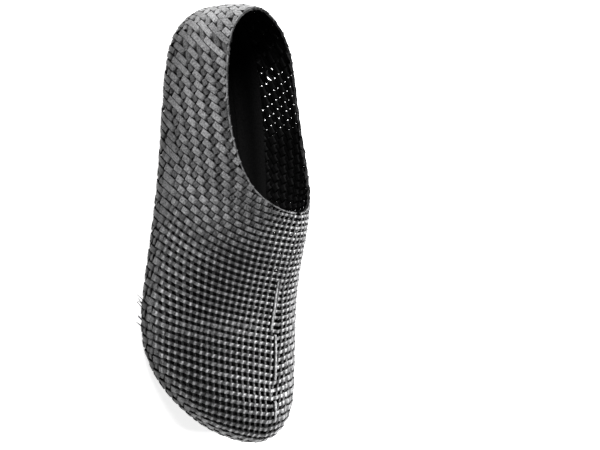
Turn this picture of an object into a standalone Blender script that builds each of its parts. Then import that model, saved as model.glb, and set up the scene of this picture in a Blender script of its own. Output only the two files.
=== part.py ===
"""A right-foot barefoot slip-on shoe, printed as an open weave: a woven upper, a lattice sole and an insole.

Lengths are in metres; the tables are in millimetres. +X points to the toe, +Y to the inner (medial) side
of the foot and +Z up. The shoe stands empty on its flat tread, and the origin is the middle of its base.

The outside of the shoe is one surface. "turn" goes once round the shoe: 0 at the heel's back, 0.5 at the toe
tip, with the outer (lateral) side first. "rise" goes up the wall: -1 at the tread's edge, 0 at the widest line
and 1 at the top line above the foot.
"""
import bmesh
import bpy
import numpy as np
from mathutils import Vector, geometry

MM = 0.001

LENGTH = 284 * MM
TOE_TIP_Y = 25.3 * MM
WIDEST_HEIGHT = 13 * MM
EDGE_INSET = 9 * MM
EDGE_FULLNESS = 2.2
TOE_SPRING = 9 * MM
SPRING_FROM = 50 * MM
HEEL_SPRING = 3 * MM
HEEL_SPRING_FROM = 100 * MM
HEEL_AXIS_X = -104 * MM
TOE_POLE_X = 104 * MM
FAN_SOFTNESS = 9 * MM

# The widest line in plan, a row per station.
OUTLINE_MM = (
    # along, lateral, medial
    (-130, 23.0, 20.5),
    (-108, 32.7, 31.6),
    (-70, 37.7, 37.2),
    (-30, 41.8, 40.5),
    (10, 48.4, 42.3),
    (45, 54.8, 46.8),
    (75, 55.4, 51.8),
    (100, 44.3, 54.6),
    (122, 23.4, 52.0),
    (136, 0.0, 42.0),
)

# The cross-sections, a row each: where the top line runs, how high, and how full the curve up to it is.
SECTIONS_MM = (
    # along, top_line_medial, top_height, fullness
    (-150, 0.0, 82.0, 2.6),
    (-60, 2.0, 84.5, 2.4),
    (0, 10.5, 81.0, 2.2),
    (40, 11.0, 65.5, 2.2),
    (80, 17.5, 51.5, 2.2),
    (112, 21.0, 40.5, 2.2),
)

# The collar's edge in the side view; its last row is the throat, on the top line.
COLLAR_MM = (
    # along, height
    (-145, 57.5),
    (-110, 60.0),
    (-70, 62.5),
    (-35, 70.0),
    (-17, 76.7),
    (-9.5, 80.6),
    (-5.5, 82.4),
)

WALL = 2.0 * MM
SOLE_THICKNESS = 2.4 * MM
INSOLE_THICKNESS = 2.5 * MM
GAP = 0.3 * MM

COLUMNS = 44            # grid columns from the heel's back to the toe tip, on each side
ROWS = 12               # grid rows up the wall
STRIP_RAISE = 0.7 * MM  # the crossing strips over the wall
PIT_DEPTH = 0.6 * MM    # the pits between the strips
PIT_SHARE = 0.36        # how far a pit reaches along the grid edges
LIP_HEIGHT = 2.6 * MM
LIP_RAISE = 0.7 * MM
RELIEF_SPACING = 5 * MM  # where columns stand closer than this, the strips fade into the wall
RIDGE_TOP_RISE = 0.945  # where the weave stops beside the instep ridge
RIDGE_EDGE_RISE = 0.98
RIDGE_RAISE = 1.2 * MM
POLE_MERGE = 5 * MM
HOLE_FROM_X = 0 * MM
HOLE_TO_X = 106 * MM
HOLE_FIRST_ROW = 5
HOLE_EVERY = 4
SLOT_CENTRE = (-86 * MM, 46 * MM)
SLOT_SHARE = (0.49, 0.13)

SOLE_ROWS = 4
RIB_RAISE = 0.9 * MM
WINDOW_LENGTH = 8.0 * MM
WINDOW_WIDTH = 3.6 * MM
WINDOW_PITCH_X = 17.0 * MM
WINDOW_PITCH_Y = 11.0 * MM
WINDOW_EDGE = 6.5 * MM

COLOURS = {
    "upper": (0.035, 0.035, 0.037, 1),
    "sole": (0.05, 0.05, 0.052, 1),
    "insole": (0.012, 0.012, 0.012, 1),
}


def smooth_through(places, values, at, closed=False):
    """A cubic through the values at the given places, closed or with free ends, read at other places."""
    places = np.asarray(places, float)
    values = np.asarray(values, float).reshape(len(places), -1)
    count = len(places)
    step = np.diff(places)
    size = count - 1 if closed else count
    system = np.eye(size)
    bend = np.zeros((size, values.shape[1]))
    for k in range(0 if closed else 1, count - 1):
        before = (k - 1) % size
        after = (k + 1) % size
        system[k] = 0
        system[k, before] += step[k - 1]
        system[k, k] += 2 * (step[k - 1] + step[k])
        system[k, after] += step[k]
        slope_after = (values[k + 1] - values[k]) / step[k]
        slope_before = (values[k] - values[before]) / step[k - 1]
        bend[k] = 6 * (slope_after - slope_before)
    second = np.linalg.solve(system, bend)
    if closed:
        second = np.vstack([second, second[:1]])
    at = np.asarray(at, float)
    k = np.clip(np.searchsorted(places, at, side="right") - 1, 0, count - 2)
    width = step[k][..., None]
    low = (places[k + 1] - at)[..., None] / width
    high = 1 - low
    curved = (low**3 - low) * second[k] + (high**3 - high) * second[k + 1]
    return low * values[k] + high * values[k + 1] + curved * width**2 / 6


def table_column(table, column, at):
    """One column of a table in millimetres, read along the shoe, in metres."""
    rows = np.array(table, float)
    return smooth_through(rows[:, 0] * MM, rows[:, column], at)[..., 0] * MM


def outline_loop():
    """The outline's control points once round, with their places along the curve and the toe tip's place."""
    lateral = [(along, -out) for along, out, _ in OUTLINE_MM]
    medial = [(along, out) for along, _, out in reversed(OUTLINE_MM)]
    heel = (-LENGTH / 2 / MM, 0.0)
    toe = (LENGTH / 2 / MM, TOE_TIP_Y / MM)
    loop = np.array([heel] + lateral + [toe] + medial + [heel]) * MM
    chords = np.linalg.norm(np.diff(loop, axis=0), axis=1) ** 0.5
    places = np.concatenate([[0], np.cumsum(chords)])
    return loop, places, places[len(lateral) + 1]


LOOP, LOOP_PLACES, TOE_PLACE = outline_loop()


def widest_line(turn):
    turn = np.mod(turn, 1.0)
    lateral = turn * 2 * TOE_PLACE
    medial = TOE_PLACE + (turn * 2 - 1) * (LOOP_PLACES[-1] - TOE_PLACE)
    return smooth_through(LOOP_PLACES, LOOP, np.where(turn <= 0.5, lateral, medial), closed=True)


def section_foot(along):
    """Where on the top line the section through an outline point ends; sections fan out at heel and toe."""
    past_heel = HEEL_AXIS_X + FAN_SOFTNESS * np.log1p(np.exp((along - HEEL_AXIS_X) / FAN_SOFTNESS))
    return TOE_POLE_X - FAN_SOFTNESS * np.log1p(np.exp((TOE_POLE_X - past_heel) / FAN_SOFTNESS))


def ground_height(along):
    toe = np.clip((along - SPRING_FROM) / (LENGTH / 2 - SPRING_FROM), 0, 1)
    heel = np.clip((-along - HEEL_SPRING_FROM) / (LENGTH / 2 - HEEL_SPRING_FROM), 0, 1)
    return TOE_SPRING * toe**2 + HEEL_SPRING * heel**2


def surface(turn, rise):
    """The point of the shoe's outside at a turn and a rise."""
    turn, rise = np.broadcast_arrays(np.asarray(turn, float), np.asarray(rise, float))
    edge = widest_line(turn)
    foot_x = section_foot(edge[..., 0])
    foot = np.stack([foot_x, table_column(SECTIONS_MM, 1, foot_x)], -1)
    top = table_column(SECTIONS_MM, 2, foot_x)
    power = 2 / (table_column(SECTIONS_MM, 3, foot_x) / MM)
    up = np.clip(rise, 0, 1) * np.pi / 2
    plan = foot + (np.cos(up) ** power)[..., None] * (edge - foot)
    outward = (edge - foot) / np.linalg.norm(edge - foot, axis=-1, keepdims=True)
    down = np.clip(-rise, 0, 1) * np.pi / 2
    edge_power = 2 / EDGE_FULLNESS
    plan = plan - outward * (EDGE_INSET * (1 - np.cos(down) ** edge_power))[..., None]
    widest = WIDEST_HEIGHT + ground_height(edge[..., 0])
    upper_z = widest + (top - widest) * np.sin(up) ** power
    lower_z = ground_height(plan[..., 0]) + WIDEST_HEIGHT * (1 - np.sin(down) ** edge_power)
    return np.concatenate([plan, np.where(rise < 0, lower_z, upper_z)[..., None]], -1)


def outward_normal(turn, rise):
    step = 0.004
    along_turn = surface(turn + step / 4, rise) - surface(turn - step / 4, rise)
    along_rise = surface(turn, np.minimum(rise + step, 1)) - surface(turn, np.maximum(rise - step, -1))
    normal = np.cross(along_turn, along_rise)
    return normal / np.linalg.norm(normal, axis=-1, keepdims=True)


def top_line(along):
    """Points of the top line and the wall's normals there."""
    height = table_column(SECTIONS_MM, 2, along)
    slope = (table_column(SECTIONS_MM, 2, along + MM) - table_column(SECTIONS_MM, 2, along - MM)) / (2 * MM)
    points = np.stack([along, table_column(SECTIONS_MM, 1, along), height], -1)
    normals = np.stack([-slope, np.zeros_like(slope), np.ones_like(slope)], -1)
    return points, normals / np.linalg.norm(normals, axis=-1, keepdims=True)


def collar_rise(turns):
    """The rise at which each section meets the collar's edge, or 2 in front of the throat."""
    rises = np.linspace(0.05, 1, 400)
    points = surface(turns[:, None], rises[None, :])
    over = points[..., 2] - table_column(COLLAR_MM, 1, points[..., 0])
    over[points[..., 0] > COLLAR_MM[-1][0] * MM] = -1
    found = np.full(len(turns), 2.0)
    for k, line in enumerate(over):
        above = np.nonzero(line > 0)[0]
        if len(above):
            last = above[0]
            share = line[last - 1] / (line[last - 1] - line[last])
            found[k] = rises[last - 1] + share * (rises[last] - rises[last - 1])
    return found


def column_turns():
    """Turns of the grid's columns once round; a column of each side stands at the same place along the shoe."""
    fine = np.linspace(0, 0.5, 4001)
    lateral = widest_line(fine)
    medial = widest_line(1 - fine)
    walked = np.concatenate([[0], np.cumsum(np.linalg.norm(np.diff(lateral, axis=0), axis=1))])
    lateral_turns = np.interp(np.linspace(0, walked[-1], COLUMNS + 1), walked, fine)
    along = np.interp(lateral_turns, fine, lateral[:, 0])
    medial_turns = 1 - np.interp(along, medial[:, 0], fine)
    return np.concatenate([lateral_turns, medial_turns[COLUMNS - 1:0:-1]])


TURNS = column_turns()
AROUND = len(TURNS)


def station(column):
    """The column's number from the heel, the same on both sides."""
    return column if column <= COLUMNS else AROUND - column


def even_rises(turn, low, high, count):
    """Rises from low to high, evenly far apart up the wall."""
    fine = np.linspace(low, high, 200)
    points = surface(np.full(200, turn), fine)
    walked = np.concatenate([[0], np.cumsum(np.linalg.norm(np.diff(points, axis=0), axis=1))])
    return np.interp(np.linspace(0, walked[-1], count), walked, fine), walked[-1]


class Solid:
    """Vertices and faces of one closed piece."""

    def __init__(self):
        self.vertices = []
        self.faces = []

    def add(self, point):
        self.vertices.append(tuple(float(value) for value in point))
        return len(self.vertices) - 1

    def face(self, *corners):
        kept = [corner for k, corner in enumerate(corners) if corner != corners[k - 1]]
        if len(set(kept)) > 2:
            self.faces.append(tuple(kept))

    def fan(self, corners):
        for k in range(1, len(corners) - 1):
            self.face(corners[0], corners[k], corners[k + 1])

    def band(self, first, second, closed=True):
        count = len(first)
        for k in range(count if closed else count - 1):
            after = (k + 1) % count
            self.face(first[k], first[after], second[after])
            self.face(first[k], second[after], second[k])


def build_upper():
    """The woven wall, open at the collar and underneath; the collar's lip and the instep ridge are steps in it."""
    collar = collar_rise(TURNS)
    in_front = [i for i in range(COLUMNS + 1)
                if min(collar[i], collar[-i]) > RIDGE_TOP_RISE]
    throat = in_front[0]
    grid_rise = np.zeros((AROUND, ROWS + 2))
    for column in range(AROUND):
        if station(column) >= throat:
            grid_rise[column, :ROWS + 1] = even_rises(TURNS[column], 0, RIDGE_TOP_RISE, ROWS + 1)[0]
            grid_rise[column, ROWS + 1] = RIDGE_EDGE_RISE
        else:
            top = min(collar[column], RIDGE_TOP_RISE)
            _, height = even_rises(TURNS[column], 0, top, 2)
            spread = even_rises(TURNS[column], 0, top, 201)[0]
            shares = np.linspace(0, 1 - LIP_HEIGHT / height, ROWS + 1)
            grid_rise[column, :ROWS + 1] = np.interp(shares, np.linspace(0, 1, 201), spread)
            grid_rise[column, ROWS + 1] = top
    points = surface(TURNS[:, None], grid_rise)
    normals = outward_normal(TURNS[:, None], grid_rise)
    spacing = np.linalg.norm(np.roll(points, -1, axis=0) - np.roll(points, 1, axis=0), axis=-1) / 2
    relief = np.minimum(1, (spacing / RELIEF_SPACING) ** 2)
    merge_from = TOE_POLE_X - POLE_MERGE
    foot_x = section_foot(widest_line(TURNS)[:, 0])
    pole_station = next(i for i in range(COLUMNS + 1) if foot_x[i] > merge_from)

    solid = Solid()
    skins = {}
    for skin in ("outer", "inner"):
        corner = {}
        mid = {}
        ridge_x = np.minimum(foot_x[:COLUMNS + 1], foot_x[COLUMNS])
        line_points, line_normals = top_line(ridge_x)
        for i in range(throat, pole_station + 1):
            lift = RIDGE_RAISE if skin == "outer" else -WALL
            mid[i] = solid.add(line_points[i] + lift * line_normals[i])
        for i in range(pole_station, COLUMNS + 1):
            mid[i] = mid[pole_station]
        for column in range(AROUND):
            for row in range(ROWS + 2):
                front = station(column) >= throat
                if row == ROWS + 1 and front and station(column) >= pole_station:
                    corner[column, row] = mid[pole_station]
                    continue
                lift = 0.0 if skin == "outer" else -WALL
                if skin == "outer" and 0 < row < ROWS and (station(column) + row) % 2 == 0:
                    lift = STRIP_RAISE * relief[column, row]
                if row == ROWS + 1 and not front:
                    lift += LIP_RAISE if skin == "outer" else -LIP_RAISE / 2
                corner[column, row] = solid.add(points[column, row] + lift * normals[column, row])
        skins[skin] = corner, mid

    low_places = [(column, row) for column in range(AROUND) for row in range(1, ROWS)
                  if (station(column) + row) % 2 == 1]
    slot = min(low_places, key=lambda place: slot_distance(points[place]) + (place[0] <= COLUMNS))
    holes = {place for place in low_places
             if place[1] >= HOLE_FIRST_ROW and HOLE_FROM_X < points[place][0] < HOLE_TO_X
             and (station(place[0]) + place[1]) % HOLE_EVERY == 1 and relief[place] == 1}
    holes.add(slot)

    def diamond(place, skin):
        column, row = place
        around, up = SLOT_SHARE if place == slot else (PIT_SHARE, PIT_SHARE)
        sides = (((column - 1) % AROUND, row, around), (column, row - 1, up),
                 ((column + 1) % AROUND, row, around), (column, row + 1, up))
        depth = PIT_DEPTH * relief[place] if skin == "outer" else WALL
        made = []
        for other_column, other_row, share in sides:
            point = points[place] + share * (points[other_column, other_row] - points[place])
            normal = normals[place] + share * (normals[other_column, other_row] - normals[place])
            made.append(solid.add(point - depth * normal))
        return made

    pits = {place: diamond(place, "outer") for place in low_places}
    bores = {place: diamond(place, "inner") for place in holes}
    for place, outer_ring in pits.items():
        if place in bores:
            solid.band(outer_ring, bores[place])
        else:
            solid.fan(outer_ring)

    for skin, openings in (("outer", pits), ("inner", bores)):
        corner, mid = skins[skin]
        for column in range(AROUND):
            after = (column + 1) % AROUND
            for row in range(ROWS + 1):
                places = ((column, row), (after, row), (after, row + 1), (column, row + 1))
                # In each ring a pit's corners lie to the left, below, to the right and above.
                ring_sides = ((3, 2), (0, 3), (1, 0), (2, 1))
                outline = []
                for place, (first, second) in zip(places, ring_sides):
                    if place in openings:
                        outline += [openings[place][first], openings[place][second]]
                    else:
                        outline.append(corner[place])
                raised = (station(column) + row) % 2 == 0
                start = outline.index(corner[places[0]]) if raised else outline.index(corner[places[1]])
                solid.fan(outline[start:] + outline[:start])
        lateral = [corner[i, ROWS + 1] for i in range(throat, COLUMNS + 1)]
        medial = [corner[(AROUND - i) % AROUND, ROWS + 1] for i in range(throat, COLUMNS + 1)]
        middle = [mid[i] for i in range(throat, COLUMNS + 1)]
        solid.band(lateral, middle, closed=False)
        solid.band(medial, middle, closed=False)

    def collar_path(skin):
        corner, mid = skins[skin]
        lateral = [corner[i, ROWS + 1] for i in range(0, throat + 1)]
        medial = [corner[AROUND - i, ROWS + 1] for i in range(throat, 0, -1)]
        return lateral + [mid[throat]] + medial

    def base_path(skin):
        return [skins[skin][0][column, 0] for column in range(AROUND)]

    solid.band(collar_path("outer"), collar_path("inner"))
    solid.band(base_path("outer"), base_path("inner"))
    print("upper holes", len(holes), "throat column", throat)
    return solid


def slot_distance(point):
    return float(np.hypot(point[0] - SLOT_CENTRE[0], point[2] - SLOT_CENTRE[1]))


def window_corners(inner_ring):
    """The rectangular windows of the tread, in staggered rows, each wholly inside the tread's edge."""
    ring = [Vector(point[:2]) for point in inner_ring]
    windows = []
    for row, along in enumerate(np.arange(-LENGTH / 2, LENGTH / 2, WINDOW_PITCH_X)):
        for number in range(-6, 7):
            side = number * WINDOW_PITCH_Y
            centre = along + (WINDOW_PITCH_X / 2 if number % 2 else 0)
            reach_x = WINDOW_LENGTH / 2
            reach_y = WINDOW_WIDTH / 2
            signs = ((-1, -1), (1, -1), (1, 1), (-1, 1))
            wide = [Vector((centre + sx * (reach_x + WINDOW_EDGE), side + sy * (reach_y + WINDOW_EDGE)))
                    for sx, sy in signs]
            if all(inside(point, ring) for point in wide):
                windows.append([(centre + sx * reach_x, side + sy * reach_y) for sx, sy in signs])
    return windows


def inside(point, ring):
    """Whether a point lies inside a closed ring in plan."""
    crossings = 0
    for k, first in enumerate(ring):
        second = ring[k - 1]
        if (first.y > point.y) != (second.y > point.y):
            share = (point.y - first.y) / (second.y - first.y)
            if point.x < first.x + share * (second.x - first.x):
                crossings += 1
    return crossings % 2 == 1


def build_sole():
    """A shallow pan: the flat tread with its windows, and the rounded side with slanted ribs."""
    rises = np.linspace(0, -1, SOLE_ROWS + 1)
    turns = TURNS[:, None]
    points = surface(turns, rises[None, :])
    normals = outward_normal(turns, np.broadcast_to(rises[None, :], (AROUND, SOLE_ROWS + 1)))
    normals[:, SOLE_ROWS] = (0, 0, -1)
    points[:, 0, 2] -= GAP
    solid = Solid()
    outer = {}
    inner = {}
    for column in range(AROUND):
        for row in range(SOLE_ROWS + 1):
            ribbed = 0 < row < SOLE_ROWS and (column + row) % 2 == 0
            lift = RIB_RAISE if ribbed else 0.0
            outer[column, row] = solid.add(points[column, row] + lift * normals[column, row])
            inner[column, row] = solid.add(points[column, row] - SOLE_THICKNESS * normals[column, row])
    for column in range(AROUND):
        after = (column + 1) % AROUND
        for row in range(SOLE_ROWS):
            for skin in (outer, inner):
                if (column + row) % 2 == 0:
                    solid.fan([skin[column, row], skin[after, row], skin[after, row + 1], skin[column, row + 1]])
                else:
                    solid.fan([skin[after, row], skin[after, row + 1], skin[column, row + 1], skin[column, row]])
    solid.band([outer[c, 0] for c in range(AROUND)], [inner[c, 0] for c in range(AROUND)])

    ring = points[:, SOLE_ROWS]
    windows = window_corners(ring)
    flat = [Vector(point[:2]) for point in ring]
    edges = [(k, (k + 1) % AROUND) for k in range(AROUND)]
    lower = [outer[c, SOLE_ROWS] for c in range(AROUND)]
    upper = [inner[c, SOLE_ROWS] for c in range(AROUND)]
    for window in windows:
        first = len(flat)
        for x, y in window:
            flat.append(Vector((x, y)))
            height = float(ground_height(x))
            lower.append(solid.add((x, y, height)))
            upper.append(solid.add((x, y, height + SOLE_THICKNESS)))
        edges += [(first + k, first + (k + 1) % 4) for k in range(4)]
        solid.band(lower[first:first + 4], upper[first:first + 4])
    plain = geometry.delaunay_2d_cdt(flat, edges, [], 1, 1e-9, True)
    origin = [ids[0] for ids in plain[3]]
    for triangle in plain[2]:
        corners = [origin[k] for k in triangle]
        same_window = min(corners) >= AROUND and len({(k - AROUND) // 4 for k in corners}) == 1
        middle = (flat[corners[0]] + flat[corners[1]] + flat[corners[2]]) / 3
        if not same_window and inside(middle, flat[:AROUND]):
            solid.face(*[lower[k] for k in corners])
            solid.face(*[upper[k] for k in corners])
    print("sole windows", len(windows))
    return solid


def build_insole():
    """A thin footbed lying on the sole's floor."""
    ring = surface(TURNS, np.full(AROUND, -1.0))
    floor = SOLE_THICKNESS + GAP
    solid = Solid()
    levels = []
    for height in (floor, floor + INSOLE_THICKNESS):
        rim = [solid.add((x, y, ground_height(x) + height)) for x, y, _ in ring]
        middle = {}
        for i in range(1, COLUMNS):
            x = (ring[i][0] + ring[-i][0]) / 2
            y = (ring[i][1] + ring[-i][1]) / 2
            middle[i] = solid.add((x, y, ground_height(x) + height))
        middle[0] = rim[0]
        middle[COLUMNS] = rim[COLUMNS]
        line = [middle[i] for i in range(COLUMNS + 1)]
        solid.band([rim[i] for i in range(COLUMNS + 1)], line, closed=False)
        solid.band([rim[-i] for i in range(COLUMNS + 1)], line, closed=False)
        levels.append(rim)
    solid.band(levels[0], levels[1])
    return solid


def make_object(name, solid, shift, holder):
    mesh = bpy.data.meshes.new(name)
    moved = [tuple(np.add(vertex, shift)) for vertex in solid.vertices]
    mesh.from_pydata(moved, [], solid.faces)
    work = bmesh.new()
    work.from_mesh(mesh)
    bmesh.ops.recalc_face_normals(work, faces=work.faces)
    if work.calc_volume(signed=True) < 0:
        bmesh.ops.reverse_faces(work, faces=work.faces)
    work.to_mesh(mesh)
    work.free()
    material = bpy.data.materials.new(name)
    material.use_nodes = True
    shader = material.node_tree.nodes["Principled BSDF"]
    shader.inputs["Base Color"].default_value = COLOURS[name]
    shader.inputs["Roughness"].default_value = 0.55
    mesh.materials.append(material)
    made = bpy.data.objects.new(name, mesh)
    made.parent = holder
    bpy.context.scene.collection.objects.link(made)
    return made


def main():
    for old in list(bpy.data.objects):
        bpy.data.objects.remove(old)
    holder = bpy.data.objects.new("barefoot_shoe", None)
    bpy.context.scene.collection.objects.link(holder)
    solids = {"upper": build_upper(), "sole": build_sole(), "insole": build_insole()}
    everything = np.array([vertex for solid in solids.values() for vertex in solid.vertices])
    low = everything.min(axis=0)
    high = everything.max(axis=0)
    shift = np.array([-(low[0] + high[0]) / 2, -(low[1] + high[1]) / 2, -low[2]])
    print("shift", shift, "size", high - low)
    for name, solid in solids.items():
        make_object(name, solid, shift, holder)


main()
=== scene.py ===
"""Looks of the right-foot barefoot shoe: woven upper, tread, sole edge and footbed.

Lengths are in metres; the tables are in millimetres. +X points to the toe, +Y to the inner (medial)
side of the foot and +Z up. The first functions repeat the part's outside surface, and every strand
lies on it.

"turn" goes once round the shoe: 0 at the heel's back, 0.5 at the toe tip, with the outer (lateral)
side first. "rise" goes up the wall: -1 at the tread's edge, 0 at the widest line and 1 at the top
line above the foot.
"""

import bpy
import numpy as np
from mathutils import Matrix, Vector


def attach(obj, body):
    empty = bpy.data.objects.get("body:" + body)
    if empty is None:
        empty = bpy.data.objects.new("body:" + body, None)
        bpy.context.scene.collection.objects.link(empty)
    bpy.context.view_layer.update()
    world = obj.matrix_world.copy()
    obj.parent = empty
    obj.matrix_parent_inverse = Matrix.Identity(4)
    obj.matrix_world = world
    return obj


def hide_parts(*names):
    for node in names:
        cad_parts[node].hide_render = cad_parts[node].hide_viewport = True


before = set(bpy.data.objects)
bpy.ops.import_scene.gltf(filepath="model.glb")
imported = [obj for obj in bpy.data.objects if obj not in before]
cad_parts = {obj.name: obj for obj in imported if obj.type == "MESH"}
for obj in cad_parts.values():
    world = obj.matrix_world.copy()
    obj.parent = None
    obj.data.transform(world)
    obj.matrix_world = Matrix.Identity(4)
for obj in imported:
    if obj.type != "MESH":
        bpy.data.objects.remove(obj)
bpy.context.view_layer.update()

MM = 0.001
CHANCE = np.random.default_rng(7)

LENGTH = 284 * MM
TOE_TIP_Y = 25.3 * MM
WIDEST_HEIGHT = 13 * MM
EDGE_INSET = 9 * MM
EDGE_FULLNESS = 2.2
TOE_SPRING = 9 * MM
SPRING_FROM = 50 * MM
HEEL_SPRING = 3 * MM
HEEL_SPRING_FROM = 100 * MM
HEEL_AXIS_X = -104 * MM
TOE_POLE_X = 104 * MM
FAN_SOFTNESS = 9 * MM
CENTRING = np.array([0.32724, 0.72926, 0.0]) * MM  # from the surface's origin to the part's origin

# The widest line in plan, a row per station.
OUTLINE_MM = (
    # along, lateral, medial
    (-130, 23.0, 20.5),
    (-108, 32.7, 31.6),
    (-70, 37.7, 37.2),
    (-30, 41.8, 40.5),
    (10, 48.4, 42.3),
    (45, 54.8, 46.8),
    (75, 55.4, 51.8),
    (100, 44.3, 54.6),
    (122, 23.4, 52.0),
    (136, 0.0, 42.0),
)

# The cross-sections: where the top line runs, how high, and how full the curve up to it is.
SECTIONS_MM = (
    # along, top_line_medial, top_height, fullness
    (-150, 0.0, 82.0, 2.6),
    (-60, 2.0, 84.5, 2.4),
    (0, 10.5, 81.0, 2.2),
    (40, 11.0, 65.5, 2.2),
    (80, 17.5, 51.5, 2.2),
    (112, 21.0, 40.5, 2.2),
)

# The collar's edge in the side view; its last row is the throat, on the top line.
COLLAR_MM = (
    # along, height
    (-145, 57.5),
    (-110, 60.0),
    (-70, 62.5),
    (-35, 70.0),
    (-17, 76.7),
    (-9.5, 80.6),
    (-5.5, 82.4),
)

# The weave over the unrolled wall: places along the shoe go down the tables, and places from the
# top line down the wall go along their rows. BANDS counts the lines of crossings that run
# lengthwise, RANKS those that run up the wall.
ACROSS_MM = (0, 25, 50, 75, 105)
BANDS = (
    # along, then a value for each place in ACROSS_MM
    (-160, -4.35, -5.81, -7.41, -9.22, -11.18),
    (-130, -4.92, -6.61, -8.30, -10.59, -12.83),
    (-110, -5.19, -7.15, -9.35, -11.61, -13.77),
    (-90, -5.21, -7.58, -9.84, -12.25, -14.57),
    (-70, -4.76, -7.85, -10.07, -12.58, -15.25),
    (-50, -3.70, -7.43, -10.17, -12.79, -15.75),
    (-30, -1.96, -7.12, -10.22, -13.03, -16.60),
    (-10, -0.47, -6.05, -10.11, -13.50, -17.49),
    (10, 0.35, -5.30, -10.28, -14.51, -18.68),
    (30, 0.38, -5.29, -10.92, -15.87, -20.51),
    (50, 0.50, -5.06, -11.01, -16.91, -21.71),
    (70, 0.95, -4.52, -10.56, -16.93, -22.35),
    (90, 0.63, -4.74, -10.86, -16.88, -22.26),
    (110, 0.13, -5.60, -11.56, -16.88, -22.07),
    (140, -1.33, -6.95, -11.89, -16.95, -21.92),
)
RANKS = (
    # along, then a value for each place in ACROSS_MM
    (-160, 0.00, 0.00, 0.00, 0.00, 0.00),
    (-130, 2.72, 3.44, 4.27, 5.21, 5.97),
    (-110, 4.92, 6.03, 6.97, 8.27, 9.70),
    (-90, 7.73, 8.92, 10.01, 11.22, 12.92),
    (-70, 11.42, 12.20, 13.40, 14.31, 15.99),
    (-50, 16.30, 15.40, 16.55, 17.49, 18.47),
    (-30, 22.62, 19.18, 19.87, 20.68, 20.62),
    (-10, 28.74, 24.52, 23.73, 23.82, 23.05),
    (10, 35.15, 30.51, 28.05, 26.86, 25.60),
    (30, 40.60, 35.95, 32.38, 29.93, 27.90),
    (50, 45.95, 41.47, 37.08, 33.17, 30.64),
    (70, 51.20, 46.69, 41.99, 37.19, 33.85),
    (90, 55.04, 50.72, 45.74, 41.46, 38.17),
    (110, 58.62, 53.69, 48.94, 45.44, 42.34),
    (140, 62.79, 58.07, 54.81, 51.53, 48.37),
)
DIAGONAL_UNTIL = 21.7   # the rank up to which the second strands run diagonally
COLUMNS_FROM = 33.0     # the rank from which they run lengthwise, as columns
REAR_FROM = -85 * MM    # behind this the chart follows the widest line round the heel
REAR_UNTIL = -45 * MM
REAR_LENGTH = 100 * MM  # chart length from the heel's back to REAR_MARK
REAR_MARK = -60 * MM
CHART_COLUMNS = 520
CHART_ROWS = 190        # above the widest line
EDGE_ROWS = 36          # below it
LOWEST_RISE = -0.96

# Where the weave opens up, a row per place down the wall.
OPEN_LINE_MM = (
    # across, along
    (0, -26),
    (12, -20),
    (25, 4),
    (40, 14),
    (60, 18),
    (80, 0),
    (105, -15),
)
OPEN_REACH = (-26 * MM, 18 * MM)
OPEN_EDGE = 13 * MM                # the weave closes again over this distance from the sole
TIGHT_PLACE = 66 * MM              # it is drawn together in a band over the forefoot
TIGHT_REACH = 5 * MM
TIGHT_ACROSS = (10 * MM, 18 * MM)
TIGHT_CLOSING = 0.35
FLANK_ACROSS = (55 * MM, 75 * MM)  # it opens less low on the wall behind the forefoot
FLANK_ALONG = (25 * MM, 60 * MM)
FLANK_CLOSING = 0.25
INNER_ACROSS = (6 * MM, 16 * MM)   # it opens less on the inner side
INNER_CLOSING = 0.45

# Which strand lies on top, and how far strands weave in and out of the wall.
FLOAT_EDGE = 5 * MM                 # this close to the sole, the rear half's rows lie on top
HEEL_FLOAT = -112 * MM              # behind this place, strips lie over two strands and under one
HEEL_FADE = (-150 * MM, -110 * MM)  # from the heel's weave to the one in front of it
SIDE_CHANGE = (0.28, 0.72)          # between two crossings, where a strand changes sides
WAVE_GAIN = 1.6                     # above 1, strands run level over and under their crossings
ROW_RAISE = 0.7                     # in front of the heel, rows stay on top for longer
COLUMN_LOWER = 0.6                  # and columns stay below
WAVE = 0.62 * MM
COLUMN_SINK = 0.45 * MM             # in front of the heel, columns lie this much deeper
ROW_LIFT_MM = (0.25, 0.35)          # height in the open lattice, and how much of it ripples
COLUMN_LIFT_MM = (-0.35, 0.1)
WALL_MIDDLE = -0.6 * MM             # from the part's outside to the middle of the woven wall

# Width to spacing of the strands, dense and open.
STRAND_SHARE = {
    "row": {"wall": (0.89, 0.46), "edge": (0.76, 0.46)},
    "column": {"wall": (0.72, 0.40), "edge": (0.48, 0.40)},
}
TOP_SWELL = 0.05           # how much rows widen on top and narrow below
INNER_SHARE = {"row": (0.75, 0.92), "column": (0.87, 0.97)}  # the inner wall's, rear and front
INNER_REACH = (-68 * MM, -54 * MM)
HEEL_SHARE = (0.88, 1.20)  # round the heel, for the strips on top and for those below them
HEEL_REACH = (-110 * MM, -99 * MM)
STRAND_DEPTH = {"row": (0.9 * MM, 1.1 * MM), "column": (0.9 * MM, 1.0 * MM)}  # dense and open
SPACING_RANGE = (2.5 * MM, 11 * MM)
STRAND_STEP = 1.05 * MM
SHORTEST_STRAND = 3 * MM
FEWEST_STEPS = 3
WEAVE_CORNER = 0.08        # how round a strip's edges are, as a share of its width
STRAND_CORNER = 0.13
SLOT_ROW = 20.5            # columns cut between two rows leave a slot in the inner wall
SLOT_ROW_REACH = 0.6
SLOT_COLUMN = -2.5
SLOT_COLUMN_REACH = 1

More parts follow.
